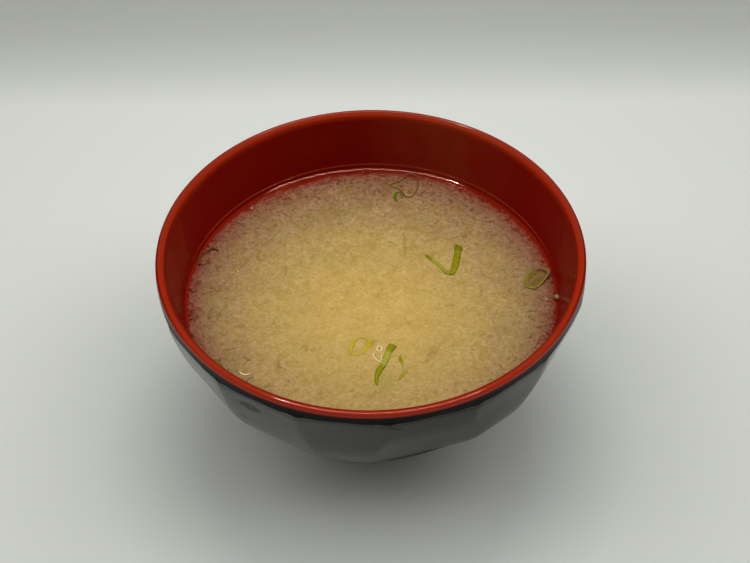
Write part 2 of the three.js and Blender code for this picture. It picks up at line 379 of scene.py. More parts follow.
def bowl_ring(height, body, flat=None, share=0.0):
    """One level of the bowl. body is the round body's radius, flat is the reach of the flats.
    The columns follow the corners between the flats, which drift a little lower down."""
    offsets = np.array(UNEVENNESS) * share
    reach = (flat if flat is not None else body) + offsets
    facing = FACET_TURN + (np.arange(FACETS) + 0.5) * TURN
    along = (np.roll(reach, -1) - reach * math.cos(TURN)) / math.sin(TURN)
    corner = facing + np.arctan2(along, reach)
    before = np.roll(corner, 1)
    before[0] -= 2 * math.pi
    azimuth = (before[:, None] + (corner - before)[:, None] * FACET_COLUMNS[None, :]).ravel()
    radius = np.full(azimuth.shape, float(body))
    if flat is not None:
        apart = azimuth[None, :] - facing[:, None]
        apart = (apart + math.pi) % (2 * math.pi) - math.pi
        near = np.abs(apart) < NEARBY
        lines = np.where(near, reach[:, None] / np.cos(np.where(near, apart, 0)), OUT_OF_REACH)
        radius = soft_min(np.stack([soft_min(lines, CORNER_SOFTNESS), radius]), BAND_SOFTNESS)
    return np.stack([radius * np.cos(azimuth), radius * np.sin(azimuth), np.full(azimuth.shape, height)], -1)


def bowl_outside():
    """Rings from above the foot ring up to the lip."""
    heights = np.concatenate([
        np.arange(OUTSIDE_WALL[0][1], 20, 1.2), np.arange(20, 30, 0.7), np.arange(30, 57, 1.0),
        np.linspace(57, RED_DOWN_TO, 31),
    ])
    body = radius_at(OUTSIDE_WALL, heights)
    flat = radius_at([*FACET_MIDDLE, PAST_THE_FLATS], heights)
    share = 1 - smoothstep(UNEVEN_FULLY, UNEVEN_BELOW, heights)
    rings = []
    for height, round_radius, reach, uneven in zip(heights, body, flat, share):
        cut = reach if height > FLATS_FROM else None
        rings.append(bowl_ring(height, round_radius, cut, uneven))
    return rings


def bowl_foot():
    """Rings from the middle of the hollow underside out over the foot ring."""
    inside = FOOT_RADIUS - FOOT_WALL
    edge = 0.5
    profile = catmull_rom([
        (2, FOOT_RECESS), (inside - 3, FOOT_RECESS), (inside - 1.2, FOOT_RECESS - 0.3),
        (inside - 0.7, FOOT_RECESS - 1.2), (inside - 0.3, 1.2),
    ], 4)
    under = [(inside, edge * 0.3), (inside + 0.3, 0), (FOOT_RADIUS - 0.3, 0), (FOOT_RADIUS + 0.2, edge * 0.4)]
    outside = [(FOOT_RADIUS + 0.5, 1.5), (FOOT_RADIUS + 0.7, 4), (FOOT_RADIUS + 0.9, 7)]
    return [bowl_ring(z, r, share=1.0) for r, z in [*profile, *under, *outside]]


def bowl_lip():
    """The lip's upright outer side, its rounded edge and the slope down to the inside wall."""
    crest = (RIM_RADIUS - LIP_ROUNDING, RIM_HEIGHT - LIP_ROUNDING)
    top = [(RIM_RADIUS, z) for z in np.linspace(RIM_HEIGHT - LIP_DROP, crest[1], 7)[:-1]]
    for angle in np.linspace(0, math.pi / 2 + LIP_SLOPE, 14):
        top.append((crest[0] + LIP_ROUNDING * math.cos(angle), crest[1] + LIP_ROUNDING * math.sin(angle)))
    foot = RIM_RADIUS - LIP_WIDTH + LIP_SOFTENING
    last_radius, last_height = top[-1]
    for radius in np.linspace(last_radius, foot, 9)[1:]:
        top.append((radius, last_height - (last_radius - radius) * math.tan(LIP_SLOPE)))
    corner = [top[-1], (foot - 0.33, top[-1][1] - 0.36), (foot - 0.53, top[-1][1] - 1.0)]
    top += [tuple(point) for point in catmull_rom(corner, 4)[1:]]
    return [bowl_ring(z, r) for r, z in top]


def bowl_inside():
    start = RIM_HEIGHT - LIP_DROP - 0.8
    depths = np.concatenate([np.arange(start, 46, -0.5), np.arange(46, 20, -1.2)])
    rings = [bowl_ring(z, r) for r, z in zip(radius_at(INSIDE_WALL, depths), depths)]
    bottom = catmull_rom(INSIDE_WALL[-4:], 6)[:-1]
    rings += [bowl_ring(z, r) for r, z in bottom if z < 19.5]
    return rings


def make_bowl():
    foot = bowl_foot()
    outside = bowl_outside()
    rings = foot + outside + bowl_lip() + bowl_inside()
    columns = len(rings[0])
    vertices, faces = with_poles(rings, (0, 0, FOOT_RECESS), (0, 0, FLOOR_HEIGHT))
    black_rows = len(foot) + len(outside)
    row = np.append(np.repeat(np.arange(len(rings)), columns), [0, len(rings)])
    bowl = piece_of("lacquered_bowl", vertices, faces, [black_lacquer(), red_lacquer()], {
        "facet": facet_share(vertices) * (row < black_rows),
    })
    black = np.array([row[polygon.vertices[0]] + row[polygon.vertices[1]] < 2 * black_rows - 1
                      for polygon in bowl.data.polygons])
    bowl.data.polygons.foreach_set("material_index", np.where(black, 0, 1))
    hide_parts("bowl")


def facet_share(vertices):
    """1 on the flat facets and 0 on the round band above them."""
    radius = np.hypot(vertices[:, 0], vertices[:, 1])
    inside_band = radius_at(OUTSIDE_WALL, vertices[:, 2]) - radius
    cut = np.clip((inside_band - 0.06) / 0.1, 0, 1)
    return np.where(vertices[:, 2] < FLATS_WHOLE_TO, 1, cut)


# Where the soup's reflection is painted on the wall: which side, from and to how many degrees round that
# side, between which heights, and how strong.
SOUP_REFLECTIONS = [(-1, -18, 14, 47.5, 61.5, 1.0), (1, -6, 9, 49, 60, 0.6)]
REFLECTION_WANDER = 22          # how many degrees the ends of a painted reflection wander


def painted_soup_reflection(look, patches):
    """1 where the soup's painted reflection lies on the wall, and 0 elsewhere."""
    across, away, up = look.axes()
    wander = look.times(look.minus(patches, 0.5), REFLECTION_WANDER)
    reflections = []
    for side, start, end, low, high, strength in SOUP_REFLECTIONS:
        turned = look.math("ARCTAN2", away, look.times(across, float(side)))
        degrees = look.plus(look.math("DIVIDE", turned, math.radians(1)), wander)
        reflections.append(look.times(
            look.span(degrees, start, start + 6), look.span(degrees, end + 1, end),
            look.span(up, low, low + 2), look.span(up, high, high - 1.5), strength,
        ))
    return look.times(look.most(*reflections), look.span(patches, 0.2, 0.5))


def red_lacquer():
    """Red inside. It is brighter on the lip, wet and painted brighter under the broth, and dulled by steam at
    the back. A painted reflection of the soup lies on the side walls, a painted highlight along the shore
    behind and a painted sheen on the lip behind, and painted shade darkens the lip's edges.
    """
    look = Look("red_lacquer")
    across, away, up = look.axes()
    out = look.off_axis()
    patches = look.noise(9.0, detail=3)

    lip = look.span(up, RIM_HEIGHT - 2.4, RIM_HEIGHT - 1.4)
    # Painted reflection: the outer part of the lip behind is painted pink for the sheen it shows.
    painted_sheen = look.times(
        look.span(out, RIM_RADIUS - 2.0, RIM_RADIUS - 1.3), look.span(away, -12, 8))
    tone = look.mix(lip, WALL_RED, look.mix(painted_sheen, LIP_RED, LIP_SHEEN_PINK))
    steam = look.times(look.span(away, 10, 40), look.ramp(look.span(across, -4, 44), [
        (0.0, 0.0), (0.3, 0.8), (0.6, 1.0), (1.0, 0.0),
    ]))
    tone = look.mix(look.times(steam, patches), tone, STEAMED_RED)
    # Painted reflection: the soup mirrored as a brown haze on the side walls above the broth.
    tone = look.mix(look.times(painted_soup_reflection(look, patches), 0.85), tone, REFLECTED_SOUP_BROWN)
    # Painted light: under the broth the wall is wet and painted brighter and more orange, as if lit through
    # the broth.
    tone = look.mix(look.span(up, SOUP_LEVEL + 0.5, SOUP_LEVEL - 0.3), tone, WET_AND_LIT_RED)
    shore = SOUP_LEVEL + MENISCUS_RISE
    # Painted highlight: a thin bright line along the broth's shore behind, for the light caught where the
    # broth meets the wall.
    shore_highlight = look.times(look.band(up, shore - 0.25, shore + 0.4), look.span(away, 0, 25))
    tone = look.mix(shore_highlight, tone, SHORE_HIGHLIGHT_BROWN)

    # Painted shade: the lip's outer edge is painted as a dark line behind, and so is its corner with the wall
    # in front.
    edge = look.times(
        look.span(out, RIM_RADIUS - 0.75, RIM_RADIUS - 0.5), look.span(away, -38, -12))
    foot = RIM_RADIUS - LIP_WIDTH
    seen = look.minus(out, look.times(look.span(away, -10, -40), 0.6))
    corner = look.times(
        look.span(away, 25, 5), lip, look.band(seen, foot - 0.5, foot + 0.5, fall=0.6), 0.8)
    tone = look.mix(look.most(edge, corner), tone, EDGE_SHADE_RED)
    # Painted shade: the lip's upright outer side is painted darker towards its foot.
    under = look.times(
        look.span(up, RIM_HEIGHT - 0.8, RIM_HEIGHT - 2.3),
        look.span(out, RIM_RADIUS - 0.4, RIM_RADIUS - 0.1), 0.9)
    tone = look.mix(under, tone, UNDER_LIP_SHADE)

    front = look.times(look.span(away, -20, -42), 0.85)
    back = look.times(look.span(away, 5, 35), 0.25)
    crest = look.span(up, RIM_HEIGHT - 1.0, RIM_HEIGHT - 0.6)
    gloss = look.times(look.plus(front, back, 0.1), crest)
    look.set(
        Base_Color=look.mix(look.times(patches, 0.14), tone, (0.0, 0.0, 0.0)),
        Roughness=look.plus(look.times(patches, 0.06), 0.13),
        Specular_IOR_Level=0.03,
        Coat_Weight=look.times(look.minus(lip, edge, clamp=True), gloss),
        Coat_Roughness=0.06,
    )
    look.bump(look.noise(1.6, detail=2), 0.004)
    return look


# Dents and scratches in the outside: where each one is (degrees round, height), its half length and
# half width, and how many degrees it leans from level.
MARKS = [
    ((-122.6, 55.1), 3.4, 1.9, -4), ((-126.8, 46.2), 1.7, 0.55, -55), ((-80.7, 52.6), 1.4, 0.25, 25),
    ((-84.2, 58.3), 2.2, 0.5, -35), ((-103.0, 38.1), 2.9, 0.6, -66),
    ((-105.2, 53.4), 0.4, 0.35, 0), ((-106.8, 48.8), 0.4, 0.3, 0), ((-106.6, 44.7), 0.35, 0.35, 0),
    ((-93.5, 59.2), 0.4, 0.3, 0), ((-98.7, 46.0), 0.35, 0.3, 0),
]
DENT_DEPTH = 0.12


def marks_on(look):
    """1 in the dents and scratches of the outside and 0 round them."""
    across, away, up = look.axes()
    turned = look.math("ARCTAN2", away, across)
    marks = []
    for (degrees, height), half_length, half_width, lean in MARKS:
        radius = float(radius_at(OUTSIDE_WALL, height))
        along = look.times(look.minus(turned, math.radians(degrees)), radius)
        above = look.minus(up, height)
        cosine, sine = math.cos(math.radians(lean)), math.sin(math.radians(lean))
        length = look.plus(look.times(along, cosine), look.times(above, sine))
        width = look.minus(look.times(above, cosine), look.times(along, sine))
        length = look.math("ABSOLUTE", look.math("DIVIDE", length, half_length))
        width = look.math("ABSOLUTE", look.math("DIVIDE", width, half_width))
        marks.append(look.span(look.plus(look.math("POWER", length, 2), width), 1.15, 0.85))
    return look.most(*marks)


def black_lacquer():
    """Black outside: a dull black band under the lip, and facets with a satin gloss that marks interrupt."""
    look = Look("black_lacquer")
    facet = look.attribute("facet")
    grain = look.noise(0.7, detail=3, roughness=0.7)
    marks = look.times(marks_on(look), 0.65)
    tone = look.mix(facet, (0.003, 0.003, 0.003), (0.012, 0.0125, 0.0125))
    tone = look.mix(look.times(grain, 0.3), tone, (0.006, 0.006, 0.006))
    gloss = look.times(0.70, look.ramp(look.span(look.axes()[0], -45, 50), [
        (0.0, 1.0), (0.3, 1.0), (0.5, 0.7), (0.62, 0.45), (0.78, 0.45), (0.95, 1.0),
    ]))
    look.set(
        Base_Color=look.mix(marks, tone, (0.003, 0.003, 0.003)),
        Roughness=0.3,
        Specular_IOR_Level=0.08,
        Coat_Weight=look.times(look.minus(facet, marks, clamp=True), gloss),
        Coat_Roughness=0.2,
    )
    height = look.minus(look.times(look.noise(1.3, detail=3), 0.1), marks)
    look.bump(height, DENT_DEPTH)
    return look


# ---------- soup

SHORE = float(radius_at(INSIDE_WALL, SOUP_LEVEL + MENISCUS_RISE))
CLOUD_COLUMNS = 600
CLOUD_ROWS = 130
CLOUD_SHORE = 0.3         # the cloud's body stops this short of the wall
CLOUD_DEPTH = 0.16        # its top lies this far under the level
CLOUD_LEAST_DEPTH = 0.08
CLOUD_EDGE = 3.5          # this near to its edge it sinks further,
CLOUD_EDGE_FALL = 0.12    # by this much a millimetre
CLOUD_LUMPS = [(0.12, 3.4, 3.1), (0.05, 1.3, 7.7)]      # how high, how wide, and the noise's seed
CLOUD_BODY = [(1.5, 0.8), (3, 1.6), (8, 4), (20, 4), (30, 5)]     # depths, and how far in from the wall
NOT_SHOWN = -9.0          # how far inland the cloud's body counts as, so that it stays clear
BRIGHT_CENTRE = (0.5, -7.5, SOUP_LEVEL)     # the cloud is painted darker away from here, partly its own colour and partly painted shade
GREEN_PATCH = (3.6, -32.8, SOUP_LEVEL)      # the scallion's green has run out here
BROTH_COLUMNS = 512
BROTH_BODY = (45, 42, 37, 31, 25, 19, 15)   # the heights of its rings under the surface
BROTH_OVERLAP = 0.25      # the clear broth reaches this far into the wall, so no gap shows

# The strip of clear broth between the wall and the cloud: how wide it is, and each place where it is wider
# or narrower, by how much, at how many degrees round, and over how many radians.
CLEAR_STRIP = 0.3
CLEAR_CHANGES = [(1.4, 108, 0.6), (0.4, 188, 0.35), (0.7, 42, 0.4), (-1.6, 270, 1.0)]

BUBBLE = (2.0, -20.8)
BUBBLE_WIDTH = 0.64       # half its width and half its length in plan
BUBBLE_LENGTH = 0.84
HALO_RADIUS = 1.5         # the pale ring of painted highlight round the bubble

# Where the cloud has split: the points of each crease, and half its width.
CREASES = [
    ([(9.6, 23.2), (9.7, 19.9), (9.7, 15.8), (9.4, 12.2)], 0.5),
    ([(-24.2, 11.2), (-24.1, 8.8), (-24.3, 6.5)], 0.45),
    ([(-25.0, -23.0), (-24.7, -26.1), (-24.8, -29.2)], 0.6),
    ([(21.1, -15.9), (17.7, -20.5), (14.9, -24.6), (13.5, -26.0)], 0.5),
    ([(17.1, -20.8), (16.0, -22.2), (14.9, -23.9)], 1.3),
    ([(3.6, -33.3), (1.2, -35.6), (-1.1, -37.9)], 0.45),
    ([(-33.6, 16.1), (-35.6, 12.2), (-38.2, 8.3)], 0.5),
    ([(22.3, 34.0), (22.1, 31.8), (21.9, 30.1)], 0.5),
]
# Small orange-brown stains in the cloud, and their radius.
STAINS = [
    ((1.6, -1.3), 1.3), ((-13.2, -2.2), 1.0), ((6.2, 7.5), 1.0), ((6.0, 0.6), 0.8), ((-2.6, 4.6), 1.0),
    ((-6.5, 0.8), 0.9), ((-9.9, 7.8), 1.0), ((21.1, -5.3), 0.9), ((25.1, -2.4), 0.8), ((-5.8, -22.9), 0.9),
    ((2.0, -20.8), 0.7), ((-32.5, -3.0), 0.5), ((32.9, -13.2), 0.5), ((29.7, -16.8), 0.5),
]


def level_at(radius):
    """The height of the broth's surface at a radius."""
    return SOUP_LEVEL + MENISCUS_RISE * math.exp((min(radius, SHORE) - SHORE) / MENISCUS_LENGTH)


def clear_width(azimuth):
    """How wide the strip of clear broth between the wall and the cloud is. Below 0 there is none."""
    width = np.full(len(azimuth), CLEAR_STRIP)
    for change, degrees, spread in CLEAR_CHANGES:
        width += change * np.exp(-((azimuth - math.radians(degrees)) / spread) ** 2)
    return width


def crease_share(points):
    """1 on a crease's middle line and 0 away from it. Creases are narrower at their ends."""
    share = np.zeros(len(points))
    for path, half_width in CREASES:
        line = catmull_rom(path, 6)
        taper = 0.35 + 0.65 * np.sin(np.linspace(0.15, math.pi - 0.15, len(line)))
        share = np.maximum(share, nearness(points, line, half_width * taper))
    return share


def make_cloud():
    """The cloudy miso in the broth. Its lumpy top lies just under the level, and it thins out at its rim."""
    azimuth = np.arange(CLOUD_COLUMNS) * 2 * math.pi / CLOUD_COLUMNS
    clear = clear_width(azimuth)
    wall = float(radius_at(INSIDE_WALL, SOUP_LEVEL))
    vertices, inland = [], []
    for radius in np.linspace(0.6, wall - CLOUD_SHORE, CLOUD_ROWS):
        for a, strip in zip(azimuth, clear):
            flat = (radius * math.cos(a), radius * math.sin(a), 0)
            past = wall - radius - strip
            lump = sum(height * noise_at(flat, size, seed) for height, size, seed in CLOUD_LUMPS)
            drop = CLOUD_DEPTH + CLOUD_EDGE_FALL * float(np.clip(CLOUD_EDGE - past, 0, 4))
            vertices.append((flat[0], flat[1], SOUP_LEVEL - max(drop - lump, CLOUD_LEAST_DEPTH)))
            inland.append(past)
    for depth, inset in CLOUD_BODY:
        radius = float(radius_at(INSIDE_WALL, SOUP_LEVEL - depth)) - inset
        for a in azimuth:
            vertices.append((radius * math.cos(a), radius * math.sin(a), SOUP_LEVEL - depth))
            inland.append(NOT_SHOWN)
    rings = np.reshape(vertices, (-1, CLOUD_COLUMNS, 3))
    top = np.arange(CLOUD_ROWS * CLOUD_COLUMNS)
    flat = np.reshape(vertices, (-1, 3))[top]
    creased = np.zeros(len(vertices) + 2)
    stained = np.zeros(len(vertices) + 2)
    creased[top] = crease_share(flat)
    places, radii = zip(*STAINS)
    stained[top] = nearness(flat, np.array(places), np.array(radii))
    vertices, faces = with_poles(rings, (0, 0, SOUP_LEVEL - CLOUD_DEPTH), (0, 0, FLOOR_HEIGHT + 1))
    attributes = {"inland": [*inland, wall, NOT_SHOWN], "crease": creased, "stain": stained}
    cloud = piece_of("miso_cloud", vertices, faces, [cloudy_miso()], attributes)
    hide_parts("soup")


def cloudy_miso():
    """Cloudy miso: cottony, with dark flecks, tan in the middle and thinning out to pink-brown wisps. It is
    painted darker towards the wall, partly as painted shade, with a painted highlight round the bubble and
    painted red light at its rim.
    """
    look = Look("miso")
    inland = look.attribute("inland")
    # Painted shade: the tan darkens away from BRIGHT_CENTRE, partly the cloud's own colour and partly painted
    # shade from the bowl's walls.
    wander = look.times(look.grain(9, detail=3), 12)
    reach = look.math("DIVIDE", look.plus(look.far_from(BRIGHT_CENTRE), wander), 56)
    tone = look.ramp(reach, [
        (0.0, (0.618, 0.484, 0.149)), (0.30, (0.563, 0.444, 0.145)), (0.55, (0.474, 0.367, 0.133)),
        (0.75, (0.376, 0.267, 0.118)), (0.95, (0.290, 0.159, 0.086)),
    ])
    tone = cottony(look, tone, reach)

    crowd = look.ramp(reach, [(0.0, 0.0), (0.5, 0.25), (1.0, 1.0)])
    few = flecks(look, 2.8, 0.0, look.times(crowd, 0.06))
    many = flecks(look, 1.5, 5.0, look.times(crowd, 0.07))
    crease = look.ramp(look.noise(1.4, detail=2), [(0.3, 0.3), (0.6, 1.0)])
    crease = look.times(look.attribute("crease"), crease)
    fleck_tone = look.ramp(reach, [
        (0.0, (0.54, 0.32, 0.06)), (0.30, (0.40, 0.26, 0.06)), (0.65, (0.26, 0.17, 0.055)),
        (0.90, (0.23, 0.08, 0.05)),
    ])
    for share, strength in ((few, 0.65), (many, 0.5), (crease, 0.7)):
        tone = look.mix(look.times(share, strength), tone, fleck_tone)

    green = look.ramp(look.noise(2.0, detail=3), [(0.35, 0.0), (0.6, 0.45)])
    green = look.times(look.span(look.far_from(GREEN_PATCH), 4.5, 0.5), green)
    tone = look.mix(green, tone, (0.33, 0.34, 0.045))
    # Painted highlight: a pale ring on the cloud round the bubble.
    halo_highlight = look.span(look.far_from((*BUBBLE, SOUP_LEVEL)), HALO_RADIUS - 0.4, HALO_RADIUS + 0.4)
    halo_highlight = look.ramp(halo_highlight, [(0.0, 0.0), (0.45, 0.30), (0.55, 0.30), (1.0, 0.0)])
    tone = look.mix(halo_highlight, tone, (0.72, 0.60, 0.30))

    # Partly painted light: at the sides the rim is painted rosy, for red light from the wall and the wall
    # seen through the thin cloud.
    beside = look.span(look.math("ABSOLUTE", look.axes()[0]), 10, 42)
    rosy = look.times(beside, look.span(inland, 7.5, 0.5), 0.55)
    tone = look.mix(rosy, tone, ROSY_RIM)
    wisps = look.times(look.grain(1.7, detail=4, roughness=0.75, distortion=0.7), 12)
    cover = look.span(look.plus(inland, wisps), -0.6, 8.4)
    # Partly painted light: the thinnest wisps are painted pink, for red light from the wall and the wall seen
    # through them.
    tone = look.mix(look.times(look.span(cover, 0.38, 0.04), 0.75), tone, THIN_PINK)
    cover = look.ramp(cover, [(0.0, 0.0), (0.05, 0.15), (0.12, 0.5), (0.5, 0.86), (1.0, 1.0)])
    split = look.times(look.most(few, many), look.span(inland, 13, 2), 0.5)
    look.set(
        Base_Color=tone,
        Roughness=0.85,
        Specular_IOR_Level=0.1,
        Alpha=look.times(cover, look.minus(1.0, split)),
    )
    look.bump(look.noise(0.9, detail=4, roughness=0.65), 0.06)
    return look


def cottony(look, tone, reach):
    """The tone with the cloud's grain: cottony lumps, fibres, crumbs, warm patches and stains. The lumps
    stand out more at the back, and the crumbs more outwards."""
    rough = look.plus(look.times(look.span(look.axes()[1], -15, 42), 0.9), 0.75)
    cotton = look.grain(4.5, detail=6, roughness=0.85, distortion=0.6)
    cotton = look.times(cotton, 0.95, rough)
    tone = look.shaded(tone, cotton, (0.8, 1.0, 2.0))
    ridge = look.noise(2.4, detail=3, roughness=0.6, distortion=1.6)
    fibres = look.span(look.math("ABSOLUTE", look.minus(ridge, 0.52)), 0.03, 0.0)
    tone = look.shaded(tone, look.times(fibres, 0.10), (1.0, 1.0, 1.3))
    crumbs = look.grain(0.9, detail=4, roughness=0.75)
    loose = look.plus(look.times(look.span(reach, 0.35, 0.95), 1.1), 0.7)
    tone = look.shaded(tone, look.times(crumbs, loose), (0.9, 1.15, 2.3))
    patches = look.ramp(look.noise(5.5, detail=2, roughness=0.6), [(0.55, 0.0), (0.75, 0.20)])
    tone = look.mix(patches, tone, (0.62, 0.36, 0.10))
    stain = look.times(
        look.attribute("stain"), look.span(look.noise(1.1, detail=2), 0.3, 0.6), 0.6)
    return look.mix(stain, tone, (0.50, 0.29, 0.05))


def flecks(look, size, seed, more):
    """Small curled flecks of 1 on 0, where a wavy noise is at its lowest. `more` makes them crowd."""
    moved = look.vector("ADD", look.place, (seed, seed * 2, 0.0))
    field = look.noise(size, detail=3, roughness=0.55, distortion=1.3, place=moved)
    return look.span(look.minus(field, more), 0.37, 0.27)


def make_broth():
    """The clear broth: its level surface, which curls up at the wall, over a body that fills the bowl."""
    azimuth = np.arange(BROTH_COLUMNS) * 2 * math.pi / BROTH_COLUMNS
    radii = np.concatenate([
        np.linspace(4, SHORE - 12, 8), np.linspace(SHORE - 11, SHORE - 4, 12),
        np.linspace(SHORE - 3.9, SHORE, 50),
    ])
    rings = [(radius, level_at(radius)) for radius in radii]
    rings.append((SHORE + BROTH_OVERLAP, level_at(SHORE) + 0.02))
    for height in BROTH_BODY:
        rings.append((float(radius_at(INSIDE_WALL, height)) + BROTH_OVERLAP, height))
    grid = [
        np.column_stack([r * np.cos(azimuth), r * np.sin(azimuth), np.full(BROTH_COLUMNS, z)])
        for r, z in rings
    ]
    vertices, faces = with_poles(grid, (0, 0, SOUP_LEVEL), (0, 0, FLOOR_HEIGHT - 0.2))
    broth = piece_of("clear_broth", vertices, faces, [clear_liquid()])
    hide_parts("soup")


def clear_liquid():
    """Clear broth, seen straight through, with the gloss of water, tinted red as painted light from the wall
    under it.
    """
    look = Look("clear_broth")
    look.tree.nodes.remove(look.shader)
    fresnel = look.add("ShaderNodeFresnel", {"IOR": 1.33})
    through = look.add("ShaderNodeBsdfTransparent", {"Color": (1.0, 0.98, 0.95, 1)})
    # Painted light: the gloss is tinted red for the wall's red light that shows with it.
    gloss = look.add("ShaderNodeBsdfGlossy", {"Roughness": 0.04, "Color": (0.90, 0.43, 0.34, 1)})
    both = look.add("ShaderNodeMixShader", {
        "Fac": fresnel.outputs[0], 1: through.outputs[0], 2: gloss.outputs[0],
    })
    look.feed(look.tree.nodes["Material Output"].inputs["Surface"], both.outputs[0])
    return look


# ---------- scallion

# A slice's section: how far each point lies across it, in half widths, and how far up (in `proud`) or
# down (in `sunk`). Its flanks slope outwards down into the broth.
SECTION_ACROSS = np.array([-0.6, -1.1, -1.14, -0.98, -0.8, -0.4, 0.0, 0.4, 0.8, 0.98, 1.14, 1.1, 0.6])
SECTION_UP = np.array([-1.0, -0.6, -0.4, 0.3, 0.85, 1.0, 1.0, 1.0, 0.85, 0.3, -0.4, -0.6, -1.0])


def ribbon(path, sunk, proud, closed=False, steps=6, slant=0.0):
    """A slice of scallion along a path of (x, y, width), as vertices, faces and attributes. It stands
    `proud` above the broth and hangs `sunk` into it. slant turns its far end, in widths."""
    line = catmull_rom(path, steps, closed)
    ahead = np.roll(line, -1, axis=0) - np.roll(line, 1, axis=0)
    if not closed:
        ahead[0] = line[1] - line[0]
        ahead[-1] = line[-1] - line[-2]
    ahead = ahead[:, :2] / np.hypot(ahead[:, 0], ahead[:, 1])[:, None]
    step = np.hypot(*(np.diff(line[:, :2], axis=0).T))
    run = np.concatenate([[0], np.cumsum(step)])
    rows, columns = len(line), len(SECTION_ACROSS)
    vertices = np.zeros((rows, columns, 3))
    for i, (x, y, width) in enumerate(line):
        half = width / 2
        tail = slant * max(0.0, 1 - (run[-1] - run[i]) / max(width, 0.1))
        forward = tail * SECTION_ACROSS * half
        vertices[i, :, 0] = x - ahead[i, 1] * SECTION_ACROSS * half + ahead[i, 0] * forward
        vertices[i, :, 1] = y + ahead[i, 0] * SECTION_ACROSS * half + ahead[i, 1] * forward
        height = np.where(SECTION_UP > 0, SECTION_UP * proud, SECTION_UP * sunk)
        vertices[i, :, 2] = level_at(math.hypot(x, y)) + height
    along = np.repeat(run / run[-1], columns)
    side = np.tile(SECTION_ACROSS, rows)
    distance = np.repeat(run, columns)
    if closed:
        flat, faces = vertices.reshape(-1, 3), ring_faces(rows, columns, closed=True)
    else:
        flat, faces = with_poles(vertices, vertices[0].mean(axis=0), vertices[-1].mean(axis=0))
        along = np.append(along, [0, 1])
        side = np.append(side, [0, 0])
        distance = np.append(distance, [0, run[-1]])
    return flat, faces, {"along": along, "side": side, "run": distance}


def joined(parts):
    """Several ribbons as one mesh. Each part's share of `along` follows on from the one before it."""
    vertices, faces, attributes = [], [], {}
    for n, (part, part_faces, values) in enumerate(parts):
        start = sum(len(v) for v in vertices)
        vertices.append(part)
        faces += [tuple(start + i for i in face) for face in part_faces]
        for key, value in values.items():
            value = (np.asarray(value) + n) / len(parts) if key == "along" else value
            attributes[key] = np.append(attributes.get(key, []), value)
    return np.concatenate(vertices), faces, attributes


def leaf(name, tones, rim, bands=0.18, band_size=0.8):
    """Wet cut scallion. tones: its colour at shares of its length; rim: how much darker its edges are."""
    look = Look(name)
    tone = look.ramp(look.attribute("along"), tones)
    side = look.math("ABSOLUTE", look.attribute("side"))
    feeds = {0: look.attribute("run"), 1: look.times(look.attribute("side"), 0.15)}
    drawn = look.add("ShaderNodeCombineXYZ", feeds).outputs[0]
    cross = look.grain(band_size, detail=3, roughness=0.7, place=drawn)
    blotch = look.noise(0.5, detail=3, roughness=0.7)
    change = look.times(look.plus(cross, look.minus(blotch, 0.5)), bands * 4)
    tone = look.shaded(tone, change, (1.0, 1.0, 1.6))
    tone = look.shaded(tone, look.times(look.span(side, 0.6, 1.0), -rim))
    look.set(
        Base_Color=tone,
        Roughness=0.4,
        Specular_IOR_Level=0.06,
    )
    look.bump(blotch, 0.05)
    return look


def make_slice(name, look, shape):
    vertices, faces, attributes = shape
    piece = piece_of(name + "_leaf", vertices, faces, [look], attributes)
    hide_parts(name)


STRIP_FRONT = [
    (5.7, -19.5, 2.1), (4.8, -21, 1.87), (4.4, -21.8, 1.6), (4, -23.3, 1.61), (3.6, -24.4, 1.65),
    (3, -25.9, 1.77), (2.8, -26.8, 1.45), (2.1, -27.7, 1.67), (1.7, -28.8, 1.49), (1.3, -30.2, 1.13),
    (1.1, -31.5, 0.99), (1.2, -32.5, 0.7), (1.3, -33.3, 0.25),
]
ARC_FRONT = [
    (7.5, -23.2, 0.15), (7.5, -24.2, 0.79), (7.8, -25.2, 0.79), (8.1, -26.2, 0.61), (8.2, -27.3, 0.42),
    (8.3, -28.1, 0.53), (8.2, -29.2, 0.84), (7.6, -30.4, 0.87), (7.2, -31.2, 0.61), (7.1, -31.8, 0.15),
]
THIN_ARM = [
    (15.7, 14.1, 0.6), (16.4, 13.4, 0.95), (17, 12.8, 0.99), (17.7, 12, 1.08), (18.6, 10.9, 1.03),
    (19.6, 9.7, 1.12), (20.4, 8.5, 1.2), (21.1, 7.5, 1.2), (22.2, 6.9, 1.45), (22.7, 6.7, 1.0),
]
WIDE_ARM = [
    (22.4, 6.4, 1.2), (23, 7.5, 1.53), (23.6, 9, 1.86), (24, 10.9, 1.78), (24.5, 13, 1.8), (24.8, 15, 1.73),
    (25.1, 16.5, 2.05), (25.25, 17.7, 1.95),
]
RING_FRONT = [
    (-5.6, -20.4, 1.0), (-4.7, -17.7, 1.05), (-3.3, -16.7, 0.45), (-1.15, -17.3, 0.8), (-0.65, -18.9, 1.45),
    (-1.7, -20.9, 1.15), (-2.6, -22, 0.85), (-4.2, -22.85, 0.5), (-5.4, -22.05, 0.7),
]
RING_BACK = [
    (6.1, 43.95, 0.7), (7.2, 44.8, 0.5), (8.3, 45.3, 0.45), (9.4, 46, 0.42), (10.1, 47.2, 0.4),
    (11.2, 48.3, 0.35), (12.7, 48.4, 0.35), (14, 47.4, 0.35), (14.3, 45.5, 0.4), (14.3, 43.9, 0.4),
    (14, 42, 0.38), (13.3, 40.2, 0.38), (12.4, 38.8, 0.4), (11.4, 38.5, 0.4), (10.3, 39, 0.45),
    (9.5, 40.5, 0.6), (8.9, 41.6, 0.5), (8, 42.4, 0.45), (7, 43, 0.45),
]
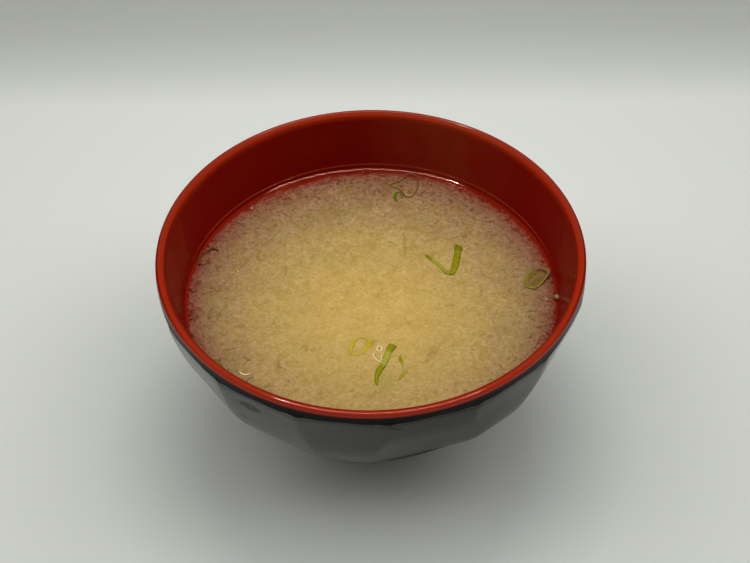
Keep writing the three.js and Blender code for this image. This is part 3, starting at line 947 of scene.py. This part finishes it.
CURL_BACK = [
    (7.85, 36.6, 0.3), (7.5, 37.6, 0.8), (7.3, 38.6, 1.0), (7.6, 40, 0.7), (8.3, 40.8, 0.45),
    (8.9, 40.1, 0.35), (9.3, 39.1, 0.32), (9.5, 38.0, 0.28),
]
HOOK_LEFT = [
    (-43.8, 16.5, 0.3), (-44.1, 17, 0.4), (-44.8, 17.5, 0.45), (-45.7, 17.5, 0.45), (-46.6, 16.8, 0.42),
    (-47.4, 16.3, 0.4), (-48.3, 15.6, 0.38), (-48.7, 14.6, 0.35), (-48.8, 13.1, 0.33), (-48.7, 11.3, 0.25),
]
BIT_LEFT = [
    (-42.2, -24.1, 0.4), (-41.8, -24.4, 0.8), (-40.9, -25.1, 1.1), (-39.9, -26.1, 0.9), (-39.4, -26.6, 0.4),
]
BIT_RIGHT = [(51.0, -4.2, 0.6), (51.15, -3.8, 1.2), (51.1, -3.2, 1.3), (51.0, -2.7, 0.7)]


def make_scallions():
    make_slice("scallion_strip_front", leaf("strip_leaf", [
        (0.0, (0.24, 0.24, 0.003)), (0.14, (0.29, 0.26, 0.003)), (0.22, (0.42, 0.39, 0.05)),
        (0.48, (0.40, 0.36, 0.04)), (0.58, (0.27, 0.25, 0.003)), (1.0, (0.28, 0.25, 0.003)),
    ], rim=0.2), ribbon(STRIP_FRONT, 0.5, 0.16))
    make_slice("scallion_arc_front", leaf("arc_leaf", [
        (0.0, (0.26, 0.25, 0.004)), (0.25, (0.31, 0.29, 0.008)), (0.5, (0.46, 0.38, 0.09)),
        (0.75, (0.37, 0.32, 0.03)), (1.0, (0.34, 0.29, 0.02)),
    ], rim=0.1), ribbon(ARC_FRONT, 0.4, 0.05))
    make_slice("scallion_strip_right", leaf("fold_leaf", [
        (0.0, (0.22, 0.18, 0.006)), (0.08, (0.24, 0.21, 0.008)), (0.14, (0.38, 0.35, 0.03)),
        (0.42, (0.34, 0.31, 0.015)), (0.50, (0.28, 0.25, 0.004)), (0.90, (0.25, 0.235, 0.005)),
        (0.93, (0.17, 0.17, 0.003)), (1.0, (0.20, 0.20, 0.004)),
    ], rim=0.15, bands=0.28, band_size=1.1), joined([
        ribbon(THIN_ARM, 0.5, 0.12), ribbon(WIDE_ARM, 0.5, 0.16, slant=0.5),
    ]))
    make_slice("scallion_ring_front", leaf("ring_leaf", [
        (0.0, (0.51, 0.41, 0.032)), (0.16, (0.51, 0.41, 0.032)), (0.27, (0.60, 0.48, 0.12)),
        (0.38, (0.52, 0.42, 0.04)), (0.5, (0.49, 0.39, 0.028)), (0.75, (0.54, 0.44, 0.04)),
        (0.88, (0.54, 0.44, 0.04)), (1.0, (0.51, 0.41, 0.032)),
    ], rim=0.0, bands=0.1), ribbon(RING_FRONT, 0.5, 0.06, closed=True))
    make_slice("scallion_ring_back", leaf("thin_ring_leaf", [
        (0.0, (0.13, 0.09, 0.004)), (0.12, (0.17, 0.10, 0.008)), (0.24, (0.18, 0.075, 0.022)),
        (0.38, (0.16, 0.06, 0.02)), (0.5, (0.16, 0.085, 0.018)), (0.62, (0.15, 0.095, 0.008)),
        (0.76, (0.16, 0.115, 0.005)), (0.84, (0.10, 0.08, 0.003)), (1.0, (0.15, 0.11, 0.006)),
    ], rim=0.0, band_size=2.0), ribbon(RING_BACK, 0.3, 0.02, closed=True))
    make_slice("scallion_curl_back", leaf("curl_leaf", [
        (0.0, (0.115, 0.145, 0.003)), (0.5, (0.10, 0.13, 0.002)), (0.75, (0.13, 0.12, 0.005)),
        (1.0, (0.18, 0.13, 0.02)),
    ], rim=0.1), ribbon(CURL_BACK, 0.4, 0.06))
    make_slice("scallion_hook_left", leaf("hook_leaf", [
        (0.0, (0.07, 0.052, 0.006)), (0.3, (0.10, 0.065, 0.012)), (0.5, (0.19, 0.090, 0.036)),
        (0.65, (0.11, 0.060, 0.012)), (0.85, (0.13, 0.065, 0.016)), (1.0, (0.22, 0.090, 0.04)),
    ], rim=0.0), ribbon(HOOK_LEFT, 0.3, 0.02))
    make_slice("scallion_bit_left", leaf("bit_leaf", [
        (0.0, (0.15, 0.125, 0.014)), (1.0, (0.19, 0.155, 0.022)),
    ], rim=0.1), ribbon(BIT_LEFT, 0.4, 0.05))
    make_slice("scallion_bit_right", leaf("pale_bit_leaf", [
        (0.0, (0.26, 0.20, 0.09)), (1.0, (0.26, 0.20, 0.09)),
    ], rim=0.0), ribbon(BIT_RIGHT, 0.3, 0.06))
    make_ring_right()


# The slice at the right, whose middle is closed by its inner sheaths: its outline, the line of a
# sheath's edge, and a dark slit.
RIGHT_OUTLINE = [
    (42.8, 3.1), (43.2, 5), (44.3, 7.1), (45.7, 8.1), (47.3, 8.6), (49.1, 8.2), (50.2, 7.3), (50.3, 6),
    (49.6, 4.7), (48.5, 3.2), (47.5, 1.9), (46.6, 1), (45.3, 0.2), (44, 0.5), (43, 1.2),
]
RIGHT_SHEATH = [(44.2, 2.5), (44.8, 3.6), (45.7, 4.4), (47, 5.4), (48, 5.7)]
RIGHT_SLIT = [(47, 7.3), (48, 7.3), (48.6, 6.8), (49, 6.6), (49.1, 5.9)]
RIGHT_MIDDLE = (46.5, 4.4)
# Its flank, as shares of the outline's size and heights over the broth, then how high its wall stands and
# how much lower its middle is.
RIGHT_FLANK = [(0.80, -0.9), (0.93, -0.5), (0.985, -0.15), (1.0, 0.05)]
RIGHT_PROUD = 0.18
RIGHT_MIDDLE_DROP = 0.22


def make_ring_right():
    outline = catmull_rom(RIGHT_OUTLINE, 6, closed=True)
    middle = np.array(RIGHT_MIDDLE)
    top = np.linspace(0.97, 0.04, 26)
    heights = RIGHT_PROUD - RIGHT_MIDDLE_DROP * smoothstep(0.82, 0.66, top)
    rings, shares = [], []
    for share, height in [*RIGHT_FLANK, *zip(top, heights)]:
        flat = middle + (outline - middle) * share
        levels = [level_at(math.hypot(x, y)) + height for x, y in flat]
        rings.append(np.column_stack([flat, levels]))
        shares.append(np.full(len(outline), share))
    level = level_at(math.hypot(*middle))
    under, over = level + RIGHT_FLANK[0][1], level + RIGHT_PROUD - RIGHT_MIDDLE_DROP
    vertices, faces = with_poles(rings, (*middle, under), (*middle, over))
    shares = np.append(np.concatenate(shares), [0, 0])
    make_slice("scallion_ring_right", sheathed_leaf(), (vertices, faces, {
        "wall": smoothstep(0.66, 0.80, shares),
        "rim": smoothstep(0.93, 1.0, shares),
        "sheath": nearness(vertices, catmull_rom(RIGHT_SHEATH, 8), 0.3),
        "slit": nearness(vertices, catmull_rom(RIGHT_SLIT, 8), 0.33),
    }))


def sheathed_leaf():
    """Wet cut scallion with its inner sheaths: a green wall round an olive middle."""
    look = Look("sheathed_leaf")
    across, away = look.axes()[:2]
    wall = look.ramp(look.span(look.plus(across, away), 46.5, 55.5), [
        (0.0, (0.25, 0.195, 0.025)), (0.35, (0.28, 0.235, 0.025)), (0.6, (0.26, 0.18, 0.035)),
        (1.0, (0.25, 0.135, 0.045)),
    ])
    tone = look.mix(look.attribute("wall"), (0.215, 0.140, 0.036), wall)
    tone = look.mix(look.attribute("sheath"), tone, (0.31, 0.21, 0.055))
    tone = look.mix(look.attribute("slit"), tone, (0.132, 0.015, 0.006))
    grain = look.grain(0.8, detail=4, roughness=0.7)
    tone = look.shaded(tone, look.times(grain, 0.9))
    look.set(
        Base_Color=look.shaded(tone, look.times(look.attribute("rim"), -0.05)),
        Roughness=0.4,
        Specular_IOR_Level=0.06,
    )
    look.bump(grain, 0.05)
    return look


# ---------- foam, drawn as painted highlights

# Thin trails of foam on the broth, drawn as the painted highlights on the bubbles' rims, each as a path of
# (x, y, width).
FOAM_HIGHLIGHTS = {
    "foam_loop": [
        (1.1, -21.7, 0.12), (0.5, -22.3, 0.22), (0.3, -22.9, 0.28), (0.7, -23.9, 0.26), (1.2, -24.7, 0.24),
        (1.8, -25.2, 0.26), (2.2, -25.5, 0.24), (2.45, -24.9, 0.22), (2.6, -24.3, 0.22), (2.4, -23.8, 0.22),
        (2.6, -23.2, 0.2), (2.9, -22.9, 0.12),
    ],
    "foam_crescent": [
        (-34.9, -28.0, 0.15), (-34.4, -28.8, 0.38), (-33.6, -29.2, 0.42), (-32.7, -29.2, 0.38),
        (-31.9, -28.8, 0.15),
    ],
    "foam_speck_left": [(-37.8, 8.5, 0.15), (-37.6, 8.5, 0.4), (-37.4, 8.5, 0.15)],
    "foam_speck_back": [(-35.4, 34.2, 0.15), (-35.2, 34.2, 0.4), (-35.0, 34.2, 0.15)],
    "foam_speck_right": [(48.0, -3.8, 0.15), (48.2, -3.8, 0.4), (48.4, -3.8, 0.15)],
    "foam_speck_front": [(1.35, -35.2, 0.12), (1.55, -35.2, 0.3), (1.75, -35.2, 0.12)],
}
FOAM_SUNK = 0.06
FOAM_PROUD = 0.08
BUBBLE_LINE = 0.36        # how wide the painted highlight on the bubble's rim is
BUBBLE_PROUD = 0.1


def make_foam_and_highlights():
    # Painted highlight: a near-white cream that glows a little, for the lamp's highlights on the bubbles'
    # rims.
    foam_highlight = Look("foam_highlight")
    foam_highlight.set(
        Base_Color=(0.90, 0.75, 0.42, 1.0),
        Roughness=0.5,
        Specular_IOR_Level=0.2,
        Emission_Color=(1.0, 0.85, 0.50, 1.0),
        Emission_Strength=0.04,
    )
    made = {name: ribbon(path, FOAM_SUNK, FOAM_PROUD, steps=5) for name, path in FOAM_HIGHLIGHTS.items()}
    angles = np.linspace(0, 2 * math.pi, 16, endpoint=False)
    x, y = BUBBLE
    rim = [(x + BUBBLE_WIDTH * math.cos(a), y + BUBBLE_LENGTH * math.sin(a), BUBBLE_LINE) for a in angles]
    made["bubble_rim"] = ribbon(rim, FOAM_SUNK, BUBBLE_PROUD, closed=True, steps=3)
    for name, (vertices, faces, _) in made.items():
        piece = piece_of(name, vertices, faces, [foam_highlight])


# ---------- floor and light

FLOOR_HALF = 2.5          # metres
VIGNETTE_CENTRE = (0.0, 60.0, 0.0)
FLOOR_SHADE = -0.10       # how much darker the floor gets away from there,
BESIDE_SHADE = 0.7        # and this share of it more beside the bowl
# Lit panels overhead, in metres: centre, width, depth, brightness, how blue their white is, whether they
# light the scene, and whether gloss mirrors them.
PANELS = {
    "ceiling_panel": ((-0.16, -0.03, 1.0), 4.2, 0.80, 1.62, 1.0, True, False),
    "lamp": ((0.02, 0.26, 0.99), 0.5, 0.10, 15.0, 0.98, True, True),
    "lamp_left": ((-0.225, 0.23, 0.985), 0.035, 0.07, 150.0, 0.98, False, True),
    "lamp_right": ((0.27, 0.20, 0.985), 0.03, 0.12, 16.0, 0.98, False, True),
}
ROOM_LIGHT = 0.078
ROOM_TINT = (1.0, 1.0, 0.97, 1)


def make_floor():
    mesh = bpy.data.meshes.new("floor")
    corners = [(x * FLOOR_HALF, y * FLOOR_HALF, 0) for x, y in ((-1, -1), (1, -1), (1, 1), (-1, 1))]
    mesh.from_pydata(corners, [], [(0, 1, 2, 3)])
    look = Look("floor")
    across, away = look.axes()[:2]
    # Painted shade: the floor is painted darker far behind the bowl.
    tone = look.ramp(look.span(away, 140.0, 205.0), [
        (0.0, (0.80, 0.821, 0.768)), (0.35, (0.64, 0.655, 0.615)), (0.7, (0.53, 0.542, 0.507)),
        (1.0, (0.49, 0.501, 0.468)),
    ])
    # Painted shade: the floor is painted darker away from VIGNETTE_CENTRE, and a painted shadow lies beside
    # the bowl.
    edge = look.span(look.far_from(VIGNETTE_CENTRE), 70.0, 190.0)
    beside = look.times(
        look.band(look.math("ABSOLUTE", across), 30.0, 120.0, fall=0.5),
        look.band(away, -120.0, 80.0, rise=0.4), BESIDE_SHADE)
    look.set(
        Base_Color=look.shaded(tone, look.times(look.plus(edge, beside), FLOOR_SHADE)),
        Roughness=0.8,
        Specular_IOR_Level=0.1,
    )
    mesh.materials.append(look.material)
    floor = linked("floor", mesh)


def make_light():
    for name, (centre, width, depth, brightness, blue, shining, mirrored) in PANELS.items():
        lamp = bpy.data.lights.new(name, "AREA")
        lamp.shape = "RECTANGLE"
        lamp.size = width
        lamp.size_y = depth
        lamp.energy = brightness * math.pi * width * depth
        lamp.color = (1.0, 1.0, blue)
        panel = linked(name, lamp)
        panel.location = centre
        panel.visible_diffuse = shining
        panel.visible_glossy = mirrored

    world = bpy.data.worlds.new("room")
    world.use_nodes = True
    background = world.node_tree.nodes["Background"].inputs
    background["Color"].default_value = ROOM_TINT
    background["Strength"].default_value = ROOM_LIGHT
    bpy.context.scene.world = world
    bpy.context.scene.view_settings.view_transform = "Standard"


make_camera()
make_floor()
make_light()
make_bowl()
make_cloud()
make_broth()
make_scallions()
make_foam_and_highlights()
